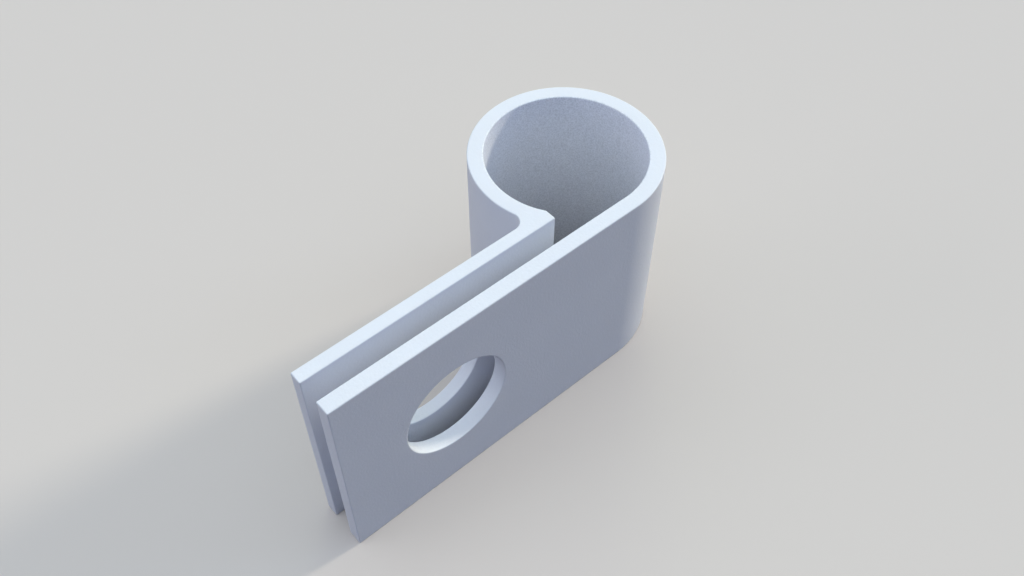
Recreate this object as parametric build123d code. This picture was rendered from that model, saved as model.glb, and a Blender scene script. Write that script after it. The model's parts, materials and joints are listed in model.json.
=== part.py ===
"""A one-piece moulded P-shaped cable clip, in millimetres.

The strip's flat base leg lies on the mounting surface and runs straight on into a round loop that holds the
cable. The loop comes back over the base leg and ends in a thinner clamping leg, a small gap above it. One
screw goes through both legs and closes the gap, which tightens the loop on the cable.

Origin: on the axis of the screw hole, in the mounting face, half-way across the clip's width.
+X runs from the screw towards the loop, +Y away from the mounting surface, +Z along the cable.
"""

import os
from math import acos, asin, cos, degrees, isclose, radians, sqrt

from build123d import *

# Cable loop
cable_diameter = 7.0
loop_wall = 0.7
clip_width = 10.0

# Legs: the base leg is as thick as the loop's wall
clamp_leg_wall = 0.6
mouth_gap = 1.0
hole_to_loop = 9.5
hole_to_end = 5.5

# Screw hole through both legs
hole_diameter = 5.0

# Junction of the loop and the clamping leg: a fillet outside, and a square lip that stands into the mouth
root_fillet = 0.5
lip_setback = 0.45

# Every outer edge of the moulding
edge_round = 0.05


def section_face():
    """The clip's section across the cable: one closed outline of straight runs and arcs."""
    bore_radius = cable_diameter / 2
    loop_radius = bore_radius + loop_wall
    loop_centre = Vector(hole_to_loop, loop_radius)

    # Heights of the faces above the mounting surface, and the legs' free ends
    gap_floor = loop_wall
    gap_roof = gap_floor + mouth_gap
    leg_top = gap_roof + clamp_leg_wall
    leg_end = -hole_to_end

    # The clamping leg ends square, short of the place where its underside would run out into the bore
    mouth_x = loop_centre.X - sqrt(bore_radius**2 - (loop_centre.Y - gap_roof) ** 2)
    lip_x = mouth_x - lip_setback
    lip_angle = 360 - degrees(acos((lip_x - loop_centre.X) / bore_radius))

    # The root fillet touches the loop from outside and the top of the clamping leg
    fillet_y = leg_top + root_fillet
    fillet_reach = loop_radius + root_fillet
    root_angle = 180 + degrees(asin((loop_centre.Y - fillet_y) / fillet_reach))
    fillet_centre = (loop_centre.X + fillet_reach * cos(radians(root_angle)), fillet_y)

    # Both arcs of the loop start under its centre and run round to the clamping leg
    loop_outside = CenterArc(loop_centre, loop_radius, -90, 90 + root_angle)
    bore = CenterArc(loop_centre, bore_radius, -90, 90 + lip_angle)
    root = CenterArc(fillet_centre, root_fillet, root_angle - 180, 90 - root_angle)
    outline = [
        Line((leg_end, 0), loop_outside @ 0),
        loop_outside,
        root,
        Line(root @ 1, (leg_end, leg_top)),
        Line((leg_end, leg_top), (leg_end, gap_roof)),
        Line((leg_end, gap_roof), (lip_x, gap_roof)),
        Line((lip_x, gap_roof), bore @ 1),
        bore,
        Line(bore @ 0, (leg_end, gap_floor)),
        Line((leg_end, gap_floor), (leg_end, 0)),
    ]
    section = make_face(outline)
    corners = section.vertices().filter_by(lambda v: isclose(v.X, leg_end) or isclose(v.X, lip_x))
    return fillet(corners, edge_round)


def screw_hole():
    """A cutter on the Y axis that passes both legs."""
    through = 2 * (loop_wall + mouth_gap + clamp_leg_wall)
    return Rotation(90, 0, 0) * Cylinder(hole_diameter / 2, through)


def clip_body():
    """The whole moulding: the section drawn out to the clip's width, drilled, and its outer edges rounded."""
    strip = extrude(section_face(), clip_width / 2, both=True)
    drilled = strip - screw_hole()
    side_edges = drilled.faces().filter_by(Axis.Z).edges()
    hole_rims = drilled.edges().filter_by(lambda edge: edge.is_closed)
    return fillet(side_edges + hole_rims, edge_round)


os.makedirs("parts", exist_ok=True)
export_step(clip_body(), "parts/clip_body.step")
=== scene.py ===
import json
from math import asin, atan2, cos, pi, radians, sin, sqrt

import bpy
import numpy as np
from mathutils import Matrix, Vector


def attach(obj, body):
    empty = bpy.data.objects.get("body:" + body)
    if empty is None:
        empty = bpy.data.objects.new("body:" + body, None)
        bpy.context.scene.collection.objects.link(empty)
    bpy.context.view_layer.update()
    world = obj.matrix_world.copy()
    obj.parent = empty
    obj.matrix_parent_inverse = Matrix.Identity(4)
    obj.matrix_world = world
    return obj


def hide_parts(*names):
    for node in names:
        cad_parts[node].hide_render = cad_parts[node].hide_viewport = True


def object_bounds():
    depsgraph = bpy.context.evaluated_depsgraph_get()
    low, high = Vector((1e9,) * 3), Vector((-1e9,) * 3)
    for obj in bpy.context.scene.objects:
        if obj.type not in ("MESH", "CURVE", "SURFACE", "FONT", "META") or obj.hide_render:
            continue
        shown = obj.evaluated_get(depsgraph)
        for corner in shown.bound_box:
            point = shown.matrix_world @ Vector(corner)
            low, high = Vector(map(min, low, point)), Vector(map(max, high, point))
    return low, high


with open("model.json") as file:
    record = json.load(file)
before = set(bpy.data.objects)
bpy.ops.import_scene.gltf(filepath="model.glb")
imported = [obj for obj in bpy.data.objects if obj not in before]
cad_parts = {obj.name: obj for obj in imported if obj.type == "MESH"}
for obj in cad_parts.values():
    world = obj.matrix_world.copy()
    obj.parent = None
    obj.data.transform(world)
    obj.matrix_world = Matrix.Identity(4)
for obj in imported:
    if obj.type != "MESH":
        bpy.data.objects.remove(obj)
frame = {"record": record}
cad_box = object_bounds()
mm = 0.001

# The moulding's section
# The clip is one strip of nylon: a flat base leg, a round loop for the cable, and a thinner clamping leg
# above the base leg. Seen along the cable, its section is one closed outline of straight runs and arcs.
mounts = {mount["name"]: mount for mount in frame["record"]["mounts"]}
bore_radius = mounts["cable_loop"]["dims"]["r_mm"] * mm
clip_width = mounts["cable_loop"]["dims"]["length_mm"] * mm
loop_centre = np.array(mounts["cable_loop"]["pos_m"][:2])
loop_radius = loop_centre[1]
leg_end = cad_box[0].x
mouth_gap = 1.0 * mm
clamp_leg_wall = 0.6 * mm
root_fillet = 0.5 * mm
lip_setback = 0.45 * mm
edge_round = 0.05 * mm

gap_floor = loop_radius - bore_radius
gap_roof = gap_floor + mouth_gap
leg_top = gap_roof + clamp_leg_wall
mouth_x = loop_centre[0] - sqrt(bore_radius**2 - (loop_centre[1] - gap_roof) ** 2)
lip_x = mouth_x - lip_setback

fillet_reach = loop_radius + root_fillet
root_angle = pi + asin((loop_centre[1] - leg_top - root_fillet) / fillet_reach)
fillet_centre = np.array((loop_centre[0] + fillet_reach * cos(root_angle), leg_top + root_fillet))

lip_round_reach = bore_radius + edge_round
lip_round_x = lip_x - edge_round
lip_round_y = loop_centre[1] - sqrt(lip_round_reach**2 - (loop_centre[0] - lip_round_x) ** 2)
lip_angle = 2 * pi + atan2(lip_round_y - loop_centre[1], lip_round_x - loop_centre[0])

hole_radius = mounts["fixing_hole"]["dims"]["r_mm"] * mm
window = 3.6 * mm
window_steps = 32
base_run_steps, clamp_run_steps = 8, 4
loop_steps = 160
round_steps = 6


def flat(along, height, facing):
    """A level run: points (x, height), with the outward normal (0, facing)."""
    level = np.ones_like(along)
    return np.column_stack((along, height * level, 0 * level, facing * level))


def arc(centre, radius, first, last, steps, facing=1):
    """Points centre + radius (cos t, sin t) as t goes from first to last. The normal is facing times
    (cos t, sin t)."""
    turn = np.linspace(first, last, steps + 1)
    ray = np.column_stack((np.cos(turn), np.sin(turn)))
    return np.hstack((np.asarray(centre) + radius * ray, facing * ray))


def corner(x, y, first, last):
    """A convex corner of the outline, rounded about (x, y)."""
    return arc((x, y), edge_round, first, last, round_steps)


# Places along the legs. Round the screw hole they are window tan t, so that they meet rays of equal angle.
tangents = window * np.tan(np.linspace(-pi / 4, pi / 4, window_steps + 1))
end_x = leg_end + edge_round


def along_leg(last, steps):
    """Places along a leg: its end, the window round the screw hole, and even steps on to last."""
    return np.concatenate(([end_x], tangents, np.linspace(window, last, steps + 1)[1:]))


base_x = along_leg(loop_centre[0], base_run_steps)
clamp_top_x = along_leg(fillet_centre[0], clamp_run_steps)
clamp_under_x = along_leg(lip_round_x, clamp_run_steps)

# The strip's outside and inside run side by side from the base leg's end, with as many points each. The
# fillet's arc has as many points as the two corners of the lip.
outside = np.vstack((
    flat(base_x, 0, -1),
    arc(loop_centre, loop_radius, -pi / 2, root_angle, loop_steps),
    arc(fillet_centre, root_fillet, root_angle - pi, -pi / 2, 2 * round_steps + 1, -1),
    flat(clamp_top_x[::-1], leg_top, 1),
))
inside = np.vstack((
    flat(base_x, gap_floor, 1),
    arc(loop_centre, bore_radius, -pi / 2, lip_angle, loop_steps, -1),
    corner(lip_round_x, lip_round_y, lip_angle - pi, 0),
    corner(lip_round_x, gap_roof + edge_round, 0, -pi / 2),
    flat(clamp_under_x[::-1], gap_roof, -1),
))
clamp_leg_end = np.vstack((
    corner(end_x, leg_top - edge_round, pi / 2, pi),
    corner(end_x, gap_roof + edge_round, pi, 3 * pi / 2),
))
base_leg_end = np.vstack((
    corner(end_x, gap_floor - edge_round, pi / 2, pi),
    corner(end_x, edge_round, pi, 3 * pi / 2),
))
outline = np.vstack((outside, clamp_leg_end, inside[::-1], base_leg_end))

# The moulding's surface
# The outline is carried across the clip's width with a round at each side. The flat sides close the strip,
# and the screw hole goes through both legs.
sheets = []


def add_sheet(points, normals, closed=False):
    """Keeps a grid of points and normals with its four-cornered faces. A closed grid joins its last row to
    its first."""
    rows, columns = points.shape[:2]
    index = np.arange(rows * columns).reshape(rows, columns)
    if closed:
        index = np.vstack((index, index[:1]))
    faces = np.stack((index[:-1, :-1], index[1:, :-1], index[1:, 1:], index[:-1, 1:]), -1).reshape(-1, 4)
    sheets.append([points.reshape(-1, 3), normals.reshape(-1, 3), faces])


def across(line, inset, level, tilt):
    """Carries a line of the outline across the width: the point moves in by inset and up to level, and its
    normal leans from the outline's own normal by the angle tilt towards the side."""
    x = line[:, None, 0] - np.outer(line[:, 2], inset)
    y = line[:, None, 1] - np.outer(line[:, 3], inset)
    z = np.broadcast_to(level, x.shape)
    normal_x = np.outer(line[:, 2], np.cos(tilt))
    normal_y = np.outer(line[:, 3], np.cos(tilt))
    normal_z = np.broadcast_to(np.sin(tilt), x.shape)
    return np.stack((x, y, z), -1), np.stack((normal_x, normal_y, normal_z), -1)


half_width = clip_width / 2
quarter = np.linspace(0, pi / 2, round_steps + 1)
wall_z = np.concatenate(([edge_round - half_width], tangents, [half_width - edge_round]))
tilt = np.concatenate((-quarter[::-1], 0 * wall_z, quarter))
inset = edge_round * (1 - np.cos(tilt))
level = np.concatenate((
    edge_round - half_width - edge_round * np.sin(quarter[::-1]),
    wall_z,
    half_width - edge_round + edge_round * np.sin(quarter),
))
add_sheet(*across(outline, inset, level, tilt), closed=True)

# The strip's two flat sides lie between its outside and its inside
for side in (-1, 1):
    rims = [line[:, :2] - edge_round * line[:, 2:] for line in (outside, inside)]
    points = np.stack([np.column_stack((rim, np.full(len(rim), side * half_width))) for rim in rims], 1)
    add_sheet(points, np.broadcast_to((0.0, 0.0, side), points.shape))

# The band has a square window round the hole, in each face of each leg
points, _, faces = sheets[0]
middle = points[faces].mean(1)
in_window = (abs(middle[:, 0]) < window) & (abs(middle[:, 2]) < window)
sheets[0][2] = faces[~in_window]

# The rays from the hole's axis run at even angles through the points on the window's four edges
turn = np.linspace(0, 2 * pi, 4 * window_steps + 1)[:-1]


def around_hole(reach, height):
    """Points (reach cos t, height, reach sin t) about the hole's axis, with a row for each angle t."""
    x, z = np.cos(turn)[:, None] * reach, np.sin(turn)[:, None] * reach
    return np.stack((x, np.broadcast_to(height, x.shape), z), -1)


# A ring of faces fills each window: from the square, window / max(|cos t|, |sin t|), in to the hole's rim
ring_steps = 6
square = window / np.maximum(abs(np.cos(turn)), abs(np.sin(turn)))
share = np.linspace(0, 1, ring_steps + 1)
ring = np.outer(square, 1 - share) + (hole_radius + edge_round) * share
for height, facing in ((0, -1), (gap_floor, 1), (gap_roof, -1), (leg_top, 1)):
    points = around_hole(ring, height)
    add_sheet(points, np.broadcast_to((0.0, facing, 0.0), points.shape), closed=True)

# The hole's wall in each leg: a quarter round in from the lower face, and one out to the upper face
lean = np.concatenate((quarter, pi - quarter[::-1]))
reach = hole_radius + edge_round - edge_round * np.sin(lean)
for low, high in ((0, gap_floor), (gap_roof, leg_top)):
    round_centre = np.repeat((low + edge_round, high - edge_round), round_steps + 1)
    points = around_hole(reach, round_centre - edge_round * np.cos(lean))
    add_sheet(points, around_hole(-np.sin(lean), -np.cos(lean)), closed=True)


def welded(sheets, grid=1e-8):
    """Drops points that no face uses, joins the sheets where their points meet to within the grid, drops
    faces with no area, and turns each face so that its own normal agrees with the surface's."""
    starts = np.cumsum([0] + [len(points) for points, _, _ in sheets[:-1]])
    points = np.vstack([points for points, _, _ in sheets])
    normals = np.vstack([normals for _, normals, _ in sheets])
    faces = np.vstack([faces + start for (_, _, faces), start in zip(sheets, starts)])
    used, faces = np.unique(faces, return_inverse=True)
    points, normals, faces = points[used], normals[used], faces.reshape(-1, 4)
    _, first, same = np.unique(np.round(points / grid), axis=0, return_index=True, return_inverse=True)
    points, normals, faces = points[first], normals[first], same.reshape(-1)[faces]
    repeats = faces == np.roll(faces, 1, axis=1)
    quads = faces[repeats.sum(1) == 0]
    triangles = faces[repeats.sum(1) == 1][~repeats[repeats.sum(1) == 1]].reshape(-1, 3)
    turned = []
    for group in (quads, triangles):
        corners = points[group]
        own = np.cross(corners[:, 2] - corners[:, 0], corners[:, -1] - corners[:, 1])
        agrees = (own * normals[group].sum(1)).sum(1) > 0
        turned.append(np.where(agrees[:, None], group, group[:, ::-1]))
    return points, normals, turned


points, normals, (quads, triangles) = welded(sheets)
clip_mesh = bpy.data.meshes.new("clip_moulding")
clip_mesh.from_pydata(points.tolist(), [], quads.tolist() + triangles.tolist())
clip_mesh.shade_smooth()
clip_mesh.normals_split_custom_set_from_vertices(normals.tolist())
clip = bpy.data.objects.new("clip_moulding", clip_mesh)
bpy.context.scene.collection.objects.link(clip)

# The nylon
# Natural nylon, a cool white with a satin skin from the mould: a fine even grain, hardly any change of
# tint, and a little light let through at its thin edges.
nylon = bpy.data.materials.new("moulded_nylon")
nylon.use_nodes = True
nodes, links = nylon.node_tree.nodes, nylon.node_tree.links
skin = nodes["Principled BSDF"]
place = nodes.new("ShaderNodeTexCoord")


def noise(size, detail):
    """Noise in the clip's own coordinates, with blobs about size across."""
    texture = nodes.new("ShaderNodeTexNoise")
    texture.inputs["Scale"].default_value = 1 / size
    texture.inputs["Detail"].default_value = detail
    links.new(place.outputs["Object"], texture.inputs["Vector"])
    return texture.outputs["Fac"]


clouds = noise(size=2.5 * mm, detail=3.0)
grain = noise(size=0.12 * mm, detail=2.0)

tint = nodes.new("ShaderNodeValToRGB")
tint.color_ramp.elements[0].position, tint.color_ramp.elements[1].position = 0.35, 0.65
tint.color_ramp.elements[0].color = (0.83, 0.838, 0.895, 1)
tint.color_ramp.elements[1].color = (0.845, 0.853, 0.91, 1)
links.new(clouds, tint.inputs["Fac"])

# The bore, which the mould's blasted core shapes, is finely speckled. It is what lies within its radius of
# the loop's axis.
level_place = nodes.new("ShaderNodeVectorMath")
level_place.operation = "MULTIPLY"
level_place.inputs[1].default_value = (1, 1, 0)
links.new(place.outputs["Object"], level_place.inputs[0])
axis_reach = nodes.new("ShaderNodeVectorMath")
axis_reach.operation = "DISTANCE"
axis_reach.inputs[1].default_value = (*loop_centre, 0)
links.new(level_place.outputs["Vector"], axis_reach.inputs[0])
core = nodes.new("ShaderNodeMapRange")
core.inputs["From Min"].default_value = bore_radius + 2 * edge_round
core.inputs["From Max"].default_value = bore_radius + edge_round / 2
links.new(axis_reach.outputs["Value"], core.inputs["Value"])

speck = noise(size=0.07 * mm, detail=1.0)
shades = nodes.new("ShaderNodeMapRange")
shades.inputs["From Min"].default_value, shades.inputs["From Max"].default_value = 0.3, 0.7
shades.inputs["To Min"].default_value, shades.inputs["To Max"].default_value = 0.88, 1.12
links.new(speck, shades.inputs["Value"])
speckled = nodes.new("ShaderNodeMix")
speckled.data_type = "RGBA"
speckled.blend_type = "MULTIPLY"
links.new(core.outputs["Result"], speckled.inputs["Factor"])
links.new(tint.outputs["Color"], speckled.inputs["A"])
links.new(shades.outputs["Result"], speckled.inputs["B"])
links.new(speckled.outputs["Result"], skin.inputs["Base Color"])

satin = nodes.new("ShaderNodeMapRange")
satin.inputs["From Min"].default_value, satin.inputs["From Max"].default_value = 0.3, 0.7
satin.inputs["To Min"].default_value, satin.inputs["To Max"].default_value = 0.45, 0.55
links.new(grain, satin.inputs["Value"])
links.new(satin.outputs["Result"], skin.inputs["Roughness"])

relief = nodes.new("ShaderNodeBump")
relief.inputs["Strength"].default_value = 1.0
relief.inputs["Distance"].default_value = 0.007 * mm
links.new(grain, relief.inputs["Height"])
links.new(relief.outputs["Normal"], skin.inputs["Normal"])

skin.inputs["IOR"].default_value = 1.53
skin.inputs["Subsurface Weight"].default_value = 0.15
skin.inputs["Subsurface Radius"].default_value = (1.0, 0.9, 0.8)
skin.inputs["Subsurface Scale"].default_value = 0.25 * mm
clip_mesh.materials.append(nylon)

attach(clip, "root")
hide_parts("clip_body")

# The floor
# A plain pale sheet under the clip, which stands on the edges of its strip. It is pale to the camera and in
# reflections, and gives back little light, so that the clip's upright faces stay darker than its top.
floor_reach = 3.0
floor_z = cad_box[0].z
floor_signs = (-1, -1), (1, -1), (1, 1), (-1, 1)
floor_corners = [(x * floor_reach, y * floor_reach, floor_z) for x, y in floor_signs]
floor_mesh = bpy.data.meshes.new("floor")
floor_mesh.from_pydata(floor_corners, [], [(0, 1, 2, 3)])
floor = bpy.data.objects.new("floor", floor_mesh)
bpy.context.scene.collection.objects.link(floor)

paper = bpy.data.materials.new("floor_paper")
paper.use_nodes = True
nodes, links = paper.node_tree.nodes, paper.node_tree.links
sheet = nodes["Principled BSDF"]
sheet.inputs["Specular IOR Level"].default_value = 0.0


def seen_directly(nodes, links):
    """1 for rays from the camera, from a glossy surface or through glass, and 0 for scattered light."""
    path = nodes.new("ShaderNodeLightPath")
    straight = path.outputs["Is Camera Ray"]
    for kind in ("Is Glossy Ray", "Is Transmission Ray"):
        either = nodes.new("ShaderNodeMath")
        either.operation = "MAXIMUM"
        links.new(straight, either.inputs[0])
        links.new(path.outputs[kind], either.inputs[1])
        straight = either.outputs["Value"]
    return straight


shade = nodes.new("ShaderNodeMix")
shade.data_type = "RGBA"
shade.inputs["A"].default_value = (0.065, 0.045, 0.03, 1)
shade.inputs["B"].default_value = (0.697, 0.624, 0.583, 1)
links.new(seen_directly(nodes, links), shade.inputs["Factor"])
links.new(shade.outputs["Result"], sheet.inputs["Base Color"])
floor_mesh.materials.append(paper)

# The light
# A dome, cool white overhead and dim blue at its edge, and four lamps: a warm one that reaches low into the
# loop, a faint one beside it, a low one opposite the camera, and a broad one behind the clamping leg. The
# camera and glossy surfaces see the same pale tone as the floor's instead of the dome.
dome_edge, dome_top = (0.04, 0.08, 0.28), (1.285, 1.455, 1.455)
seen_tone = (0.63, 0.63, 0.63)


def soft_lamp(name, azimuth, elevation, width, glow):
    """A distant lamp of the given width in degrees, in the direction (cos a cos e, sin a cos e, sin e). A
    white surface that faces it shows the colour glow."""
    lamp = bpy.data.lights.new(name, "SUN")
    lamp.color = glow
    lamp.energy = pi
    lamp.angle = radians(width)
    holder = bpy.data.objects.new(name, lamp)
    turn, rise = radians(azimuth), radians(elevation)
    towards = Vector((cos(turn) * cos(rise), sin(turn) * cos(rise), sin(rise)))
    holder.rotation_mode = "QUATERNION"
    holder.rotation_quaternion = towards.to_track_quat("Z", "Y")
    bpy.context.scene.collection.objects.link(holder)


soft_lamp("key", azimuth=-6, elevation=18.5, width=9, glow=(0.57, 0.55, 0.45))
soft_lamp("front", azimuth=-30, elevation=30, width=20, glow=(0.025, 0.035, 0.05))
soft_lamp("rear", azimuth=45, elevation=8, width=25, glow=(0.17, 0.2, 0.12))
soft_lamp("fill", azimuth=145, elevation=12, width=40, glow=(0.15, 0.15, 0.16))

world = bpy.data.worlds.new("room")
bpy.context.scene.world = world
world.use_nodes = True
nodes, links = world.node_tree.nodes, world.node_tree.links
room = nodes["Background"]
room.inputs["Strength"].default_value = 1.0

# The dome's light goes from dome_edge to dome_top with the square of the direction's height
outward = nodes.new("ShaderNodeTexCoord")
parts = nodes.new("ShaderNodeSeparateXYZ")
links.new(outward.outputs["Generated"], parts.inputs["Vector"])
overhead = nodes.new("ShaderNodeMath")
overhead.operation = "POWER"
overhead.use_clamp = True
overhead.inputs[1].default_value = 2.0
links.new(parts.outputs["Z"], overhead.inputs[0])
dome = nodes.new("ShaderNodeMix")
dome.data_type = "RGBA"
dome.inputs["A"].default_value = (*dome_edge, 1)
dome.inputs["B"].default_value = (*dome_top, 1)
links.new(overhead.outputs["Value"], dome.inputs["Factor"])

around = nodes.new("ShaderNodeMix")
around.data_type = "RGBA"
around.inputs["B"].default_value = (*seen_tone, 1)
links.new(dome.outputs["Result"], around.inputs["A"])
links.new(seen_directly(nodes, links), around.inputs["Factor"])
links.new(around.outputs["Result"], room.inputs["Color"])

# The camera
# It looks down on the clip from the legs' free ends, past the base leg's outer face. Its azimuth counts
# from -y towards +x. The values are those that lay the clip's corners and arcs over the photo's.
azimuth, elevation = radians(-40.798), radians(50.847)
aim = Vector((5.604, 3.181, 0.0)) * mm
distance = 45.41 * mm
back = Vector((sin(azimuth) * cos(elevation), -cos(azimuth) * cos(elevation), sin(elevation)))
camera_data = bpy.data.cameras.new("camera")
camera_data.lens = 36.44
camera_data.sensor_width = 36.0
camera_data.clip_start, camera_data.clip_end = 1 * mm, 10.0
camera = bpy.data.objects.new("camera", camera_data)
camera.location = aim + back * distance
camera.rotation_mode = "QUATERNION"
camera.rotation_quaternion = back.to_track_quat("Z", "Y")
bpy.context.scene.collection.objects.link(camera)
bpy.context.scene.camera = camera

bpy.context.scene.view_settings.view_transform = "Standard"
